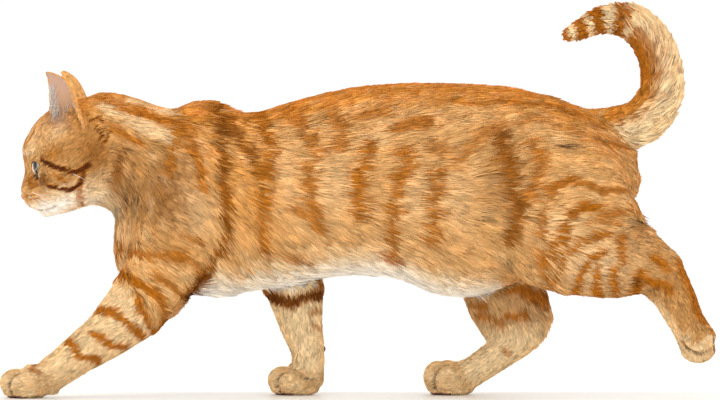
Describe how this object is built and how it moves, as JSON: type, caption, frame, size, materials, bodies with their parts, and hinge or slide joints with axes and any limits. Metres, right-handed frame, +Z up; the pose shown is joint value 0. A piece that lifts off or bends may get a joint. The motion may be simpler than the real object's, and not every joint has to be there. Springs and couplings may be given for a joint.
{
  "type": "cat",
  "caption": "Life-size still model of a ginger tabby cat walking with its head low and tail curled up, on a thin flat display base.",
  "frame": {"origin": "middle of the underside of the display base", "axes": "+Z up, -X the way the cat walks and faces, -Y the cat's left side"},
  "size_m": [0.602, 0.172, 0.333],
  "materials": {
    "coat_ginger": "short dense ginger tabby fur",
    "coat_striped": "short dense fur with dark orange bars",
    "coat_cream": "short soft cream fur",
    "ear": "thin skin with very short fur",
    "eye": "wet and glossy, grey-green iris",
    "nose": "bare pink leather, slightly moist",
    "stand": "pale satin paint"
  },
  "bodies": {
    "root": {"head": "coat_ginger", "neck": "coat_ginger", "belly": "coat_ginger", "thigh_left": "coat_ginger", "thigh_right": "coat_ginger", "tail_base": "coat_ginger", "tail_curl": "coat_ginger", "chest": "coat_striped", "rump": "coat_striped", "tail_middle": "coat_striped", "tail_tip": "coat_striped", "upper_arm_fore_left": "coat_striped", "upper_arm_fore_right": "coat_striped", "forearm_fore_left": "coat_striped", "forearm_fore_right": "coat_striped", "shank_hind_left": "coat_striped", "shank_hind_right": "coat_striped", "metatarsus_hind_left": "coat_striped", "metatarsus_hind_right": "coat_striped", "lower_jaw": "coat_cream", "paw_fore_left": "coat_cream", "paw_fore_right": "coat_cream", "paw_hind_left": "coat_cream", "paw_hind_right": "coat_cream", "ear_left": "ear", "ear_right": "ear", "eye_left": "eye", "eye_right": "eye", "nose": "nose", "stand_base": "stand"}
  },
  "joints": []
}
